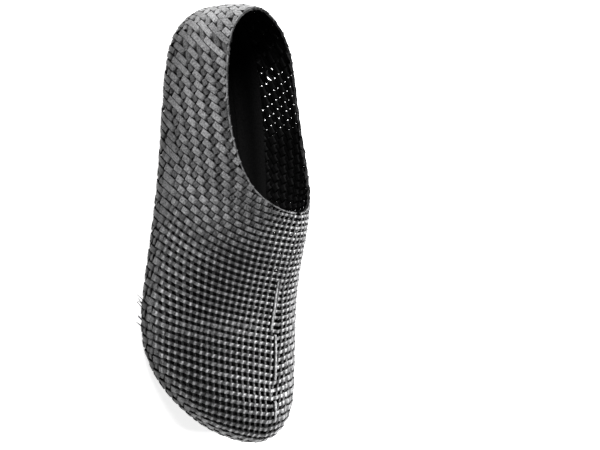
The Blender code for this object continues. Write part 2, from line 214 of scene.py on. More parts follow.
# Tints go from black at 0 to the palest print at 1; some below paint shade and highlights, as
# marked.
TINT_SPREAD = (0.75, 1.25)  # how much strands differ
# painted shade where a strand dips under another
SUNK_SHADE_TINT = 0.02
TILE_TINT = 0.34
COLUMN_SHADE_TINT = (0.13, 0.17)  # painted shade: columns on top of rows, lying deeper, in the rear and at the midfoot
COLUMN_SHADE_REACH = (-40 * MM, 10 * MM)
ROW_SHADE_RISE = (-0.3, 0.7)   # painted shade: how far up a strand is when its tint begins to lift from the sunk tint and is full
COLUMN_SHADE_RISE = (-0.2, 0.7)
OPEN_TINT = 0.14
OPEN_COLUMN_TINT = 0.09
CREST_HIGHLIGHT_TINT = (0.85, 1.0)    # painted highlight where rows cross columns, over the instep and over the toes
CREST_REACH = (50 * MM, 72 * MM)
CREST_POWER = 3             # the higher, the shorter the crests' painted highlights
EDGE_PAINTED_SHADE = (0.5, 1.0)     # painted shade: the rows' tint near the sole and higher up, as a share
EDGE_PAINTED_SHADE_REACH = 25 * MM
STRIP_SIDE = (0.34, 0.5)    # painted shade: strands get darker this far from their middle, in widths
STRIP_SIDE_PAINTED_SHADE = (1.0, 0.1)
SMOOTH_BELOW = 0.9          # edges bent by more than this, in radians, stay sharp
INSIDE_FACING = -0.5        # faces turned this far from the outside get the darker inside print, painted shade

# The bead along the collar's edge.
COLLAR_SAMPLES = 1600
COLLAR_RISES = np.linspace(0.05, 1, 400)
NO_COLLAR = 2.0  # the collar's rise in front of the throat, above any wall
COLLAR_WANDER_MM = (-0.3, 0.3)
COLLAR_WIDTH_MM = (0.8, 1.7)
COLLAR_TINT = (0.06, 0.3)
COLLAR_DEPTH = 1.6 * MM
COLLAR_CORNER = 0.3

# The ridge over the instep: two pieces beside the top line, and one over the toes.
RIDGE_MM = (
    # along, off the top line towards the inner side
    ((36, -5.1), (52, -4.7), (68, -6.2)),
    ((71, -2.3), (86, 0.0), (101, 2.1)),
)
RIDGE_TIP = ((0.5111, 0.84), (0.5081, 0.6))  # turn and rise at the third piece's ends
RIDGE_TIP_POINTS = 18
RIDGE_TINTS = ((0.16, 0.40), (0.22, 0.5))
RIDGE_WIDTH_MM = (1.5, 2.2)
RIDGE_DEPTH = 1.4 * MM
RIDGE_LIFT = 0.1 * MM

# The tufts of print hairs.
WHISKER_PLACES = ((0.291, -0.40), (0.309, -0.35))  # turn and rise
WHISKER_COUNT = 4
WHISKER_SPREAD = 0.004           # of the roots' turns
WHISKER_LEAN = (-0.9, 0.0, 0.0)  # towards the heel
WHISKER_STRAY = 0.25
WHISKER_POINTS = 6
WHISKER_ROOT = -0.1              # the part of a hair's length that is in the wall
WHISKER_LENGTH_MM = (2.6, 3.8)
WHISKER_WIDTH_MM = (0.6, 0.35)   # at the root and at the tip
WHISKER_DEPTH = 0.45 * MM
WHISKER_TINT = 0.1

# The rim between the sole's edge and the tread.
RIM_RISE = -0.93
RIM_POINTS = 640
RIM_SINK = 0.75 * MM
RIM_WIDTH = 1.5 * MM
RIM_DEPTH = 1.3 * MM
RIM_TINT = 0.2

# The tread's bars, and the links between them.
TREAD_TINT = 0.5
TREAD_PITCH = 4.3 * MM              # across the tread, from bar to bar
TREAD_ROW = 5.0 * MM                # along it, from link to link
TREAD_SPAN_MM = (-134, 134.5, 1.5)  # first place, end and step along the bars
TREAD_ACROSS = (-50 * MM, 56 * MM)
TREAD_BAR = 2.2 * MM
TREAD_BAR_DEPTH = 1.5 * MM
TREAD_MARGIN = 0.9 * MM             # bars keep this far inside the tread's edge
TREAD_REACH = 3.4 * MM              # and follow it where they would be outside it by less than this
TREAD_SINK = 0.25                   # there they sink by this share of their shift
FEWEST_BAR_POINTS = 4
LINK_ROWS = 27                      # in front of the shoe's middle, and as many behind it
LINK_LENGTH = TREAD_PITCH - 0.6 * TREAD_BAR
LINK_WIDTH = (2.3 * MM, 1.3 * MM)   # in the rear and at the forefoot
LINK_REACH = (10 * MM, 40 * MM)
LINK_DEPTH = 1.1 * MM
LINK_RAISE = 0.3 * MM
LINK_MARGIN = 2 * MM
SHIFT_EVERY = 5                     # one line of links in five is half a row ahead
SHIFT_FIRST = 2
# Places along the shoe where a whole cross row of links is left out.
NO_LINKS = np.array([-126, -116, -94, -84, 27, 37, 43, 62, 97]) * MM

# The lining and the footbed are made of rings on the shoe's floor.
RING_TURNS = np.linspace(0, 1, 240, endpoint=False)
SPINE_ENDS = (-100 * MM, 92 * MM)  # the rings' middle line runs between these places
LINING_SHARES = (0.02, 0.35, 0.7, 0.95)
LINING_RISES = np.linspace(-0.85, 0.05, 7)
LINING_OUTSIDE = 1.6 * MM          # from the shoe's outside to the lining's outer face
LINING_INSIDE = 2.3 * MM           # and to its inner face
LINING_INSET = 0.8 * MM
FOOTBED_INSET = 0.9 * MM
FOOTBED_UNDERSIDE = 2.75 * MM
FOOTBED_UNDER_SHARES = (0.02, 0.5, 0.99, 1.0)
PAD_TINT = 0.5
FOOTBED_TOP = (
    # share of the way to the rim, height in millimetres
    (0.02, 4.7),
    (0.2, 4.7),
    (0.4, 4.75),
    (0.6, 4.85),
    (0.75, 4.95),
    (0.86, 5.05),
    (0.93, 5.15),
    (0.97, 5.1),
    (0.99, 4.8),
    (1.0, 4.2),
)


def smooth_through(places, values, at, closed=False):
    """A cubic through values at given places, closed or with free ends, read at other places."""
    places = np.asarray(places, float)
    values = np.asarray(values, float).reshape(len(places), -1)
    count = len(places)
    step = np.diff(places)
    size = count - 1 if closed else count
    system = np.eye(size)
    bend = np.zeros((size, values.shape[1]))
    for k in range(0 if closed else 1, count - 1):
        before = (k - 1) % size
        after = (k + 1) % size
        system[k] = 0
        system[k, before] += step[k - 1]
        system[k, k] += 2 * (step[k - 1] + step[k])
        system[k, after] += step[k]
        slope_after = (values[k + 1] - values[k]) / step[k]
        slope_before = (values[k] - values[before]) / step[k - 1]
        bend[k] = 6 * (slope_after - slope_before)
    second = np.linalg.solve(system, bend)
    if closed:
        second = np.vstack([second, second[:1]])
    at = np.asarray(at, float)
    k = np.clip(np.searchsorted(places, at, side="right") - 1, 0, count - 2)
    width = step[k][..., None]
    low = (places[k + 1] - at)[..., None] / width
    high = 1 - low
    curved = (low**3 - low) * second[k] + (high**3 - high) * second[k + 1]
    return low * values[k] + high * values[k + 1] + curved * width**2 / 6


def table_column(table, column, at):
    """One column of a table in millimetres, read along the shoe, in metres."""
    rows = np.array(table, float)
    return smooth_through(rows[:, 0] * MM, rows[:, column], at)[..., 0] * MM


def outline_loop():
    """The outline's points once round, their places along the curve and the toe tip's place."""
    lateral = [(along, -out) for along, out, _ in OUTLINE_MM]
    medial = [(along, out) for along, _, out in reversed(OUTLINE_MM)]
    heel = (-LENGTH / 2 / MM, 0.0)
    toe = (LENGTH / 2 / MM, TOE_TIP_Y / MM)
    loop = np.array([heel] + lateral + [toe] + medial + [heel]) * MM
    chords = np.linalg.norm(np.diff(loop, axis=0), axis=1) ** 0.5
    places = np.concatenate([[0], np.cumsum(chords)])
    return loop, places, places[len(lateral) + 1]


LOOP, LOOP_PLACES, TOE_PLACE = outline_loop()


def widest_line(turn):
    turn = np.mod(turn, 1.0)
    lateral = turn * 2 * TOE_PLACE
    medial = TOE_PLACE + (turn * 2 - 1) * (LOOP_PLACES[-1] - TOE_PLACE)
    return smooth_through(LOOP_PLACES, LOOP, np.where(turn <= 0.5, lateral, medial), closed=True)


def section_foot(along):
    """Where on the top line a section ends; sections fan out at the heel and the toe."""
    past_heel = HEEL_AXIS_X + FAN_SOFTNESS * np.log1p(np.exp((along - HEEL_AXIS_X) / FAN_SOFTNESS))
    return TOE_POLE_X - FAN_SOFTNESS * np.log1p(np.exp((TOE_POLE_X - past_heel) / FAN_SOFTNESS))


def ground_height(along):
    toe = np.clip((along - SPRING_FROM) / (LENGTH / 2 - SPRING_FROM), 0, 1)
    heel = np.clip((-along - HEEL_SPRING_FROM) / (LENGTH / 2 - HEEL_SPRING_FROM), 0, 1)
    return TOE_SPRING * toe**2 + HEEL_SPRING * heel**2


def surface(turn, rise):
    """The point of the shoe's outside at a turn and a rise."""
    turn, rise = np.broadcast_arrays(np.asarray(turn, float), np.asarray(rise, float))
    edge = widest_line(turn)
    foot_x = section_foot(edge[..., 0])
    foot = np.stack([foot_x, table_column(SECTIONS_MM, 1, foot_x)], -1)
    top = table_column(SECTIONS_MM, 2, foot_x)
    power = 2 / (table_column(SECTIONS_MM, 3, foot_x) / MM)
    up = np.clip(rise, 0, 1) * np.pi / 2
    plan = foot + (np.cos(up) ** power)[..., None] * (edge - foot)
    outward = (edge - foot) / np.linalg.norm(edge - foot, axis=-1, keepdims=True)
    down = np.clip(-rise, 0, 1) * np.pi / 2
    edge_power = 2 / EDGE_FULLNESS
    plan = plan - outward * (EDGE_INSET * (1 - np.cos(down) ** edge_power))[..., None]
    widest = WIDEST_HEIGHT + ground_height(edge[..., 0])
    upper_z = widest + (top - widest) * np.sin(up) ** power
    lower_z = ground_height(plan[..., 0]) + WIDEST_HEIGHT * (1 - np.sin(down) ** edge_power)
    return np.concatenate([plan, np.where(rise < 0, lower_z, upper_z)[..., None]], -1)


def outward_normal(turn, rise):
    step = 0.004
    along_turn = surface(turn + step / 4, rise) - surface(turn - step / 4, rise)
    above = surface(turn, np.minimum(rise + step, 1))
    below = surface(turn, np.maximum(rise - step, -1))
    normal = np.cross(along_turn, above - below)
    return normal / np.linalg.norm(normal, axis=-1, keepdims=True)


def top_line(along):
    """Points of the top line and the wall's normals there."""
    ahead = table_column(SECTIONS_MM, 2, along + MM)
    behind = table_column(SECTIONS_MM, 2, along - MM)
    slope = (ahead - behind) / (2 * MM)
    height = table_column(SECTIONS_MM, 2, along)
    points = np.stack([along, table_column(SECTIONS_MM, 1, along), height], -1)
    normals = np.stack([-slope, np.zeros_like(slope), np.ones_like(slope)], -1)
    return points, normals / np.linalg.norm(normals, axis=-1, keepdims=True)


def collar_rise(turns):
    """The rise at which sections meet the collar's edge, or NO_COLLAR in front of the throat."""
    rises = COLLAR_RISES
    points = surface(turns[:, None], rises[None, :])
    over = points[..., 2] - table_column(COLLAR_MM, 1, points[..., 0])
    over[points[..., 0] > COLLAR_MM[-1][0] * MM] = -1
    found = np.full(len(turns), NO_COLLAR)
    for k, line in enumerate(over):
        above = np.nonzero(line > 0)[0]
        if len(above):
            first = above[0]
            share = line[first - 1] / (line[first - 1] - line[first])
            found[k] = rises[first - 1] + share * (rises[first] - rises[first - 1])
    return found


def ease(low, high, value):
    """0 below low, 1 above high, and smooth between them."""
    share = np.clip((value - low) / (high - low), 0, 1)
    return share * share * (3 - 2 * share)


def mix(pair, share):
    return pair[0] + (pair[1] - pair[0]) * share


def walked(points):
    """How far along a line of points each point is."""
    return np.concatenate([[0], np.cumsum(np.linalg.norm(np.diff(points, axis=0), axis=1))])


def chart_field(table, along, across):
    """One of the weave's tables, read at places on the unrolled wall."""
    rows = np.array(table, float)
    values = smooth_through(rows[:, 0] * MM, rows[:, 1:], along)
    shares = smooth_through(np.array(ACROSS_MM) * MM, np.eye(len(ACROSS_MM)), across)
    return np.sum(values * shares, axis=-1)


def weave_fields(along, across):
    """The fields of the two families of strands, which run where their field is a whole number."""
    band = chart_field(BANDS, along, across)
    rank = chart_field(RANKS, along, across)
    middle = (DIAGONAL_UNTIL + COLUMNS_FROM) / 2
    settle = np.floor(middle) - middle  # makes turned a whole number in front
    first = DIAGONAL_UNTIL + settle
    length = COLUMNS_FROM - DIAGONAL_UNTIL
    share = np.clip((rank - first) / length, 0, 1)
    slowing = share - share**3 + share**4 / 2  # its slope eases from 1 to 0
    turned = np.minimum(rank, first) + length * slowing
    return rank - band, band + turned


class Half:
    """One side of the shoe as a grid of turns and rises, with what the weave needs there."""

    def __init__(self, medial):
        self.medial = medial
        halfway = np.linspace(0, 0.5, CHART_COLUMNS)
        self.turns = 1 - halfway if medial else halfway
        below = np.linspace(LOWEST_RISE, 0, EDGE_ROWS, endpoint=False)
        self.rises = np.concatenate([below, np.linspace(0, 1, CHART_ROWS)])
        self.points = surface(self.turns[:, None], self.rises[None, :])
        self.along, across, self.edge_distance = self.unrolled()
        self.row, self.column = weave_fields(self.along, across)
        self.row_spacing = self.spacing(self.row)
        self.column_spacing = self.spacing(self.column)
        self.openness = self.open_weave(across)
        slot_rows = np.abs(self.row - SLOT_ROW) < SLOT_ROW_REACH
        slot_columns = np.abs(self.column - SLOT_COLUMN) < SLOT_COLUMN_REACH
        self.cut_column = np.where(slot_rows & slot_columns & medial, np.nan, self.column)
        below_collar = self.rises[None, :] <= collar_rise(self.turns)[:, None]
        self.parts = {
            "wall": below_collar & (self.rises >= 0),
            "edge": below_collar & (self.rises <= 0),
        }

    def unrolled(self):
        """Each point's place along and across the unrolled wall, and its distance from the sole."""
        steps = np.linalg.norm(np.diff(self.points, axis=1), axis=-1)
        from_top = np.zeros(self.points.shape[:2])
        from_top[:, :-1] = np.cumsum(steps[:, ::-1], axis=1)[:, ::-1]
        edge_distance = from_top[:, EDGE_ROWS:EDGE_ROWS + 1] - from_top
        edge = self.points[:, EDGE_ROWS, :2]
        foot_x = section_foot(edge[:, 0])
        aim = edge - np.stack([foot_x, table_column(SECTIONS_MM, 1, foot_x)], -1)
        aim /= np.linalg.norm(aim, axis=-1, keepdims=True)
        gone = walked(edge)
        to_mark = np.interp(REAR_MARK, edge[:, 0], gone)
        rear_along = REAR_MARK - (to_mark - gone) * REAR_LENGTH / to_mark
        front_along = foot_x[:, None] + from_top * aim[:, :1]
        front = ease(REAR_FROM, REAR_UNTIL, edge[:, 0])[:, None]
        along = (1 - front) * rear_along[:, None] + front * front_along
        across = from_top * (1 - front + front * np.abs(aim[:, 1:]))
        return along, across, edge_distance

    def open_weave(self, across):
        """How open the weave is: 0 where strips lie side by side, 1 where they leave a lattice."""
        open_across, open_along = np.array(OPEN_LINE_MM, float).T * MM
        past = self.along - np.interp(across, open_across, open_along)
        band = np.exp(-((self.along - TIGHT_PLACE) / TIGHT_REACH) ** 2)
        tight = band * ease(*TIGHT_ACROSS, across)
        openness = ease(*OPEN_REACH, past) * ease(0, OPEN_EDGE, self.edge_distance)
        openness *= 1 - TIGHT_CLOSING * tight
        low = FLANK_CLOSING * ease(*FLANK_ACROSS, across) * (1 - ease(*FLANK_ALONG, self.along))
        openness *= 1 - low
        if self.medial:
            openness *= 1 - INNER_CLOSING * ease(*INNER_ACROSS, across)
        return openness

    def spacing(self, field):
        """How far apart a field's strands lie at each grid point."""
        round_step = np.gradient(self.points, axis=0)
        up_step = np.gradient(self.points, axis=1)
        round_change = np.gradient(field, axis=0)
        up_change = np.gradient(field, axis=1)
        round_square = np.sum(round_step**2, axis=-1)
        up_square = np.sum(up_step**2, axis=-1)
        shared = np.sum(round_step * up_step, axis=-1)
        tiny = 1e-16
        area = np.maximum(round_square * up_square - shared**2, tiny)
        steep = up_square * round_change**2
        steep -= 2 * shared * round_change * up_change
        steep += round_square * up_change**2
        return np.clip(np.sqrt(area / np.maximum(steep, tiny)), *SPACING_RANGE)

    def read(self, grid, place):
        """A grid's values at fractional grid places."""
        i = np.clip(place[:, 0].astype(int), 0, grid.shape[0] - 2)
        k = np.clip(place[:, 1].astype(int), 0, grid.shape[1] - 2)
        on = place[:, 0] - i
        up = place[:, 1] - k
        if grid.ndim == 3:
            on = on[:, None]
            up = up[:, None]
        low = grid[i, k] * (1 - on) + grid[i + 1, k] * on
        high = grid[i, k + 1] * (1 - on) + grid[i + 1, k + 1] * on
        return low * (1 - up) + high * up

    def turn_rise(self, place):
        turn = np.interp(place[:, 0], np.arange(CHART_COLUMNS), self.turns)
        rise = np.interp(place[:, 1], np.arange(len(self.rises)), self.rises)
        return turn, rise

    def strands(self, field, part):
        """A field's whole levels in one part, each with an evenly spaced chain of grid places."""
        known = np.where(self.parts[part], field, np.nan)
        found = []
        lowest = int(np.ceil(np.nanmin(known)))
        highest = int(np.floor(np.nanmax(known)))
        for level in range(lowest, highest + 1):
            for chain in level_chains(known, level):
                points = self.read(self.points, chain)
                gone = walked(points)
                if gone[-1] < SHORTEST_STRAND:
                    continue
                count = max(int(round(gone[-1] / STRAND_STEP)), FEWEST_STEPS)
                even = np.linspace(0, gone[-1], count + 1)
                spaced = np.stack([np.interp(even, gone, chain[:, axis]) for axis in (0, 1)], -1)
                found.append((level, spaced))
        return found


def level_chains(field, level):
    """Chains of fractional grid places along which a field has the given value."""
    over = field - level
    high = over > 0
    known = np.isfinite(over)
    whole = known[:-1, :-1] & known[1:, :-1] & known[:-1, 1:] & known[1:, 1:]
    corners = high[:-1, :-1].astype(int) + high[1:, :-1] + high[:-1, 1:] + high[1:, 1:]
    links = {}
    for i, k in zip(*np.nonzero(whole & (corners > 0) & (corners < 4))):
        crossed = []
        for axis, a, b in ((0, i, k), (0, i, k + 1), (1, i, k), (1, i + 1, k)):
            after = (a + 1, b) if axis == 0 else (a, b + 1)
            if high[a, b] != high[after]:
                crossed.append((axis, a, b))
        if len(crossed) == 2:
            links.setdefault(crossed[0], []).append(crossed[1])
            links.setdefault(crossed[1], []).append(crossed[0])
    chains = []
    seen = set()
    for start in [place for place, ends in links.items() if len(ends) == 1]:
        if start in seen:
            continue
        chain = [start]
        seen.add(start)
        ahead = [place for place in links[start] if place not in seen]
        while ahead:
            chain.append(ahead[0])
            seen.add(ahead[0])
            ahead = [place for place in links[ahead[0]] if place not in seen]
        places = []
        for axis, i, k in chain:
            here = over[i, k]
            there = over[i + 1, k] if axis == 0 else over[i, k + 1]
            share = here / (here - there)
            places.append((i + share, k) if axis == 0 else (i, k + share))
        chains.append(np.array(places, float))
    return chains


def crossing_signs(half, rows):
    """Which strand is on top at each crossing: 1 where the row is, -1 where the column is."""
    signs = {}
    for level, places in rows:
        column = half.read(half.column, places)
        edge = half.read(half.edge_distance, places)
        along = half.read(half.along, places)
        for other in range(int(np.ceil(column.min())), int(np.floor(column.max())) + 1):
            at = np.argmin(np.abs(column - other))
            even = (level + other) % 2 == 0
            sign = 1 if even != half.medial else -1
            if abs(edge[at]) < FLOAT_EDGE and along[at] < 0:
                sign = 1
            if along[at] < HEEL_FLOAT:
                under = (level + other) % 3 == 0
                sign = 1 if under == half.medial else -1
            signs[level, other] = sign
    return signs


def sign_wave(level, values, signs, medial, own):
    """How a strand goes over and under, from -1 to 1, between the crossings beside each value."""
    low = np.floor(values).astype(int)
    wave = []
    for base in (0, 1):
        side = []
        for other in low + base:
            key = (level, other) if own == "row" else (other, level)
            even = (key[0] + key[1]) % 2 == 0
            side.append(signs.get(key, 1 if even != medial else -1))
        wave.append(np.array(side, float))
    share = ease(*SIDE_CHANGE, values - low)
    over = wave[0] * (1 - share) + wave[1] * share
    return over if own == "row" else -over


def row_relief(over, ripple, openness, along, edge_distance):
    """A row's height in the wall and its tint at each point, and how much it widens there."""
    heel = 1 - ease(*HEEL_FADE, along)
    raised = np.clip(WAVE_GAIN * over + ROW_RAISE * (1 - heel), -1, 1)
    lift = (ROW_LIFT_MM[0] + ROW_LIFT_MM[1] * ripple) * MM
    height = mix((raised * WAVE, lift), openness)
    # Painted shade: the row darkens where it dips under a column.
    shaded_tile_tint = mix((SUNK_SHADE_TINT, TILE_TINT), ease(*ROW_SHADE_RISE, raised))
    # Painted shade: rows darken low on the wall, near the sole.
    shaded_tile_tint *= mix(EDGE_PAINTED_SHADE, ease(0, EDGE_PAINTED_SHADE_REACH, edge_distance))
    # Painted highlight on the crests where the open rows cross columns.
    painted_highlight = mix(CREST_HIGHLIGHT_TINT, ease(*CREST_REACH, along)) * np.maximum(ripple, 0) ** CREST_POWER
    tint = mix((shaded_tile_tint, OPEN_TINT + painted_highlight), openness)
    swell = 1 + TOP_SWELL * raised * (1 - openness)
    return height, tint, swell


def column_relief(over, ripple, openness, along):
    """The same for a column, which keeps its width."""
    heel = 1 - ease(*HEEL_FADE, along)
    raised = np.clip(WAVE_GAIN * over - COLUMN_LOWER * (1 - heel), -1, 1)
    dense = raised * WAVE - COLUMN_SINK * (1 - heel)
    lift = (COLUMN_LIFT_MM[0] + COLUMN_LIFT_MM[1] * ripple) * MM
    height = mix((dense, lift), openness)
    # Painted shade: in front of the heel, columns on top are painted darker than the rows.
    shaded_column_tint = mix(COLUMN_SHADE_TINT, ease(*COLUMN_SHADE_REACH, along))
    top_tint = mix((shaded_column_tint, TILE_TINT), heel)
    # Painted shade: the column darkens where it dips under a row.
    shaded_tile_tint = mix((SUNK_SHADE_TINT, top_tint), ease(*COLUMN_SHADE_RISE, raised))
    tint = mix((shaded_tile_tint, OPEN_COLUMN_TINT), openness)
    return height, tint, 1


def width_share(half, part, own, openness, along):
    """A strand's width to spacing at each point."""
    dense, lattice = STRAND_SHARE[own][part]
    if half.medial and part == "wall":
        dense = mix(INNER_SHARE[own], ease(*INNER_REACH, along))
    share = mix((dense, lattice), openness)
    if part == "wall":
        on_top = (own == "row") != half.medial
        heel_share = HEEL_SHARE[0] if on_top else HEEL_SHARE[1]
        share = mix((heel_share, share), ease(*HEEL_REACH, along))
    return share


def weave_strands(half, part):
    """The rows and the columns of one side's wall or sole edge, as lines ready to be swept."""
    rows = half.strands(half.row, part)
    columns = half.strands(half.cut_column, part)
    signs = crossing_signs(half, rows)
    swept = {"row": [], "column": []}
    for own, strands, other_field, spacing in (
        ("row", rows, half.column, half.row_spacing),
        ("column", columns, half.row, half.column_spacing),
    ):
        for level, places in strands:
            other = half.read(other_field, places)
            openness = half.read(half.openness, places)
            along = half.read(half.along, places)
            over = sign_wave(level, other, signs, half.medial, own)
            ripple = np.cos(2 * np.pi * other)
            if own == "row":
                edge_distance = half.read(half.edge_distance, places)
                height, tint, swell = row_relief(over, ripple, openness, along, edge_distance)
            else:
                height, tint, swell = column_relief(over, ripple, openness, along)
            share = width_share(half, part, own, openness, along)
            width = half.read(spacing, places) * share * swell
            turn, rise = half.turn_rise(places)
            normal = outward_normal(turn, rise)
            points = surface(turn, rise) + normal * (WALL_MIDDLE + height)[:, None]
            depth = mix(STRAND_DEPTH[own], openness)
            swept[own].append(Line(points, normal, width, depth, tint))
    return swept


class Line:
    """A strand's middle line: points, the wall's normals, and the width, depth and tint there."""

    def __init__(self, points, normals, width, depth, tint):
        self.points = points + CENTRING
        self.normals = normals
        self.width = np.broadcast_to(width, len(points))
        self.depth = np.broadcast_to(depth, len(points))
        self.tint = np.broadcast_to(tint, len(points)) * CHANCE.uniform(*TINT_SPREAD)


def add_node(tree, kind, inputs=(), **settings):
    """A new node with the given settings, and a link or a value at each of the given inputs."""
    node = tree.nodes.new(kind)
    for name, value in settings.items():
        setattr(node, name, value)
    for name, value in dict(inputs).items():
        if isinstance(value, bpy.types.NodeSocket):
            tree.links.new(value, node.inputs[name])
        else:
            node.inputs[name].default_value = value
    return node


def map_range(tree, value, source, target):
    """A value on its way from the source's two ends to the target's two ends."""
    ends = {"From Min": source[0], "From Max": source[1], "To Min": target[0], "To Max": target[1]}
    return add_node(tree, "ShaderNodeMapRange", {"Value": value, **ends}).outputs["Result"]


def strand_tree():
    """The node tree that sweeps a rounded strip along lines and flattens it onto the wall."""
    tree = bpy.data.node_groups.new("printed_strands", "GeometryNodeTree")
    for name, kind, way in (
        ("Geometry", "Geometry", "INPUT"),
        ("Corner", "Float", "INPUT"),
        ("Outside", "Material", "INPUT"),
        ("Inside", "Material", "INPUT"),
        ("Geometry", "Geometry", "OUTPUT"),
    ):
        tree.interface.new_socket(name, in_out=way, socket_type=f"NodeSocket{kind}")

    def add(kind, inputs=(), **settings):
        return add_node(tree, kind, inputs, **settings)

    def attribute(name, kind):
        node = add("GeometryNodeInputNamedAttribute", {"Name": name}, data_type=kind)
        return node.outputs["Attribute"]

    def store(geometry, name, kind, value):
        inputs = {"Geometry": geometry, "Name": name, "Value": value}
        node = add("GeometryNodeStoreNamedAttribute", inputs, data_type=kind, domain="POINT")
        return node.outputs["Geometry"]

    def vector(operation, inputs, output="Vector"):
        return add("ShaderNodeVectorMath", inputs, operation=operation).outputs[output]

    def number(operation, first, second):
        return add("ShaderNodeMath", {0: first, 1: second}, operation=operation).outputs["Value"]

    given = add("NodeGroupInput").outputs
    place = add("GeometryNodeInputPosition").outputs["Position"]
    wall = attribute("wall_normal", "FLOAT_VECTOR")
    width = attribute("strand_width", "FLOAT")
    depth = attribute("strand_depth", "FLOAT")

    # Make the lines curves that stand upright on the wall, and note where each point's middle is.
    curve = add("GeometryNodeMeshToCurve", {"Mesh": given["Geometry"]}).outputs["Curve"]
    upright = add("GeometryNodeSetCurveNormal", {"Curve": curve, "Normal": wall}, mode="FREE")
    path = store(upright.outputs["Curve"], "strand_middle", "FLOAT_VECTOR", place)

    # Sweep a square with rounded corners along them, as wide as each strand.
    square = add("GeometryNodeCurvePrimitiveQuadrilateral", {"Width": 1.0, "Height": 1.0})
    corners = {"Curve": square.outputs["Curve"], "Radius": given["Corner"], "Count": 1}
    rounded = add("GeometryNodeFilletCurve", corners, mode="POLY").outputs["Curve"]
    sweep = add(
        "GeometryNodeCurveToMesh",
        {"Curve": path, "Profile Curve": rounded, "Scale": width, "Fill Caps": True},
    )

    # Flatten it to the strand's depth.
    out = vector("SUBTRACT", {0: place, 1: attribute("strand_middle", "FLOAT_VECTOR")})
    lift = vector("DOT_PRODUCT", {0: out, 1: wall}, "Value")
    flatten = number("SUBTRACT", number("DIVIDE", depth, width), 1.0)
    move = vector("SCALE", {0: wall, "Scale": number("MULTIPLY", lift, flatten)})
    flat = add("GeometryNodeSetPosition", {"Geometry": sweep.outputs["Mesh"], "Offset": move})

    # Paint shade on its sides, darker towards its edges.
    aside = vector("SUBTRACT", {0: out, 1: vector("SCALE", {0: wall, "Scale": lift})})
    reach = number("DIVIDE", vector("LENGTH", {0: aside}, "Value"), width)
    shade = map_range(tree, reach, STRIP_SIDE, STRIP_SIDE_PAINTED_SHADE)
    shaded = number("MULTIPLY", attribute("strand_tint", "FLOAT"), shade)
    tinted = store(flat.outputs["Geometry"], "strand_tint", "FLOAT", shaded)

    # Shade its gentle edges smooth, and give faces turned inwards the darker inside print, painted
    # shade.
    angle = add("GeometryNodeInputMeshEdgeAngle").outputs["Unsigned Angle"]
    gentle = number("LESS_THAN", angle, SMOOTH_BELOW)
    smooth = add(
        "GeometryNodeSetShadeSmooth",
        {"Geometry": tinted, "Shade Smooth": gentle},
        domain="EDGE",
    )
    real = add("GeometryNodeRealizeInstances", {"Geometry": smooth.outputs["Geometry"]})
    outside = add(
        "GeometryNodeSetMaterial",
        {"Geometry": real.outputs["Geometry"], "Material": given["Outside"]},
    )
    normal = add("GeometryNodeInputNormal").outputs["Normal"]
    facing = vector("DOT_PRODUCT", {0: normal, 1: wall}, "Value")
    inward = number("LESS_THAN", facing, INSIDE_FACING)
    inside = add(
        "GeometryNodeSetMaterial",
        {"Geometry": outside.outputs["Geometry"], "Selection": inward, "Material": given["Inside"]},
    )
    add("NodeGroupOutput", {"Geometry": inside.outputs["Geometry"]})
    return tree


STRAND_TREE = strand_tree()


def sweep_lines(name, lines, outside, inside, corner=STRAND_CORNER):
    """One piece made of the strands along the given lines."""
    points = np.concatenate([line.points for line in lines])
    ends = np.cumsum([len(line.points) for line in lines])
    links = np.stack([np.arange(len(points) - 1), np.arange(1, len(points))], -1)
    links = np.delete(links, ends[:-1] - 1, axis=0)
    mesh = bpy.data.meshes.new(name)
    mesh.from_pydata(points.tolist(), links.tolist(), [])
    normals = np.concatenate([line.normals for line in lines])
    wall_normal = mesh.attributes.new("wall_normal", "FLOAT_VECTOR", "POINT")
    wall_normal.data.foreach_set("vector", normals.ravel())
    for part in ("width", "depth", "tint"):
        values = np.concatenate([getattr(line, part) for line in lines])
        mesh.attributes.new(f"strand_{part}", "FLOAT", "POINT").data.foreach_set("value", values)
    piece = bpy.data.objects.new(name, mesh)
    bpy.context.collection.objects.link(piece)
    made = piece.modifiers.new("strands", "NODES")
    made.node_group = STRAND_TREE
    settings = {"Corner": corner, "Outside": outside, "Inside": inside}
    for socket in STRAND_TREE.interface.items_tree:
        if socket.in_out == "INPUT" and socket.name in settings:
            made[socket.identifier] = settings[socket.name]
    graph = bpy.context.evaluated_depsgraph_get()
    swept = bpy.data.meshes.new_from_object(piece.evaluated_get(graph), depsgraph=graph)
    piece.modifiers.clear()
    piece.data = swept
    bpy.data.meshes.remove(mesh)
    for attribute in ("wall_normal", "strand_width", "strand_depth", "strand_middle"):
        swept.attributes.remove(swept.attributes[attribute])
    return piece


GRAIN_SCALE = 1600
GRAIN_DETAIL = 3
GRAIN_HEIGHT = 0.3 * MM
MOTTLE_SCALE = 900
MOTTLE_DETAIL = 4
MOTTLE_NOISE = (0.3, 0.7)
MOTTLE_TINT = (0.35, 1.65)    # how much the mottle darkens and lightens the tint
BLUE_SHARE = 1.02             # the print is a little bluer than grey
DULL_BELOW = 0.3              # print of a darker tint than this shines less, so painted shade dulls reflections too
DULL_SHARE = 0.1
GLOSS_SPREAD = (-0.08, 0.12)  # how the grain changes the roughness


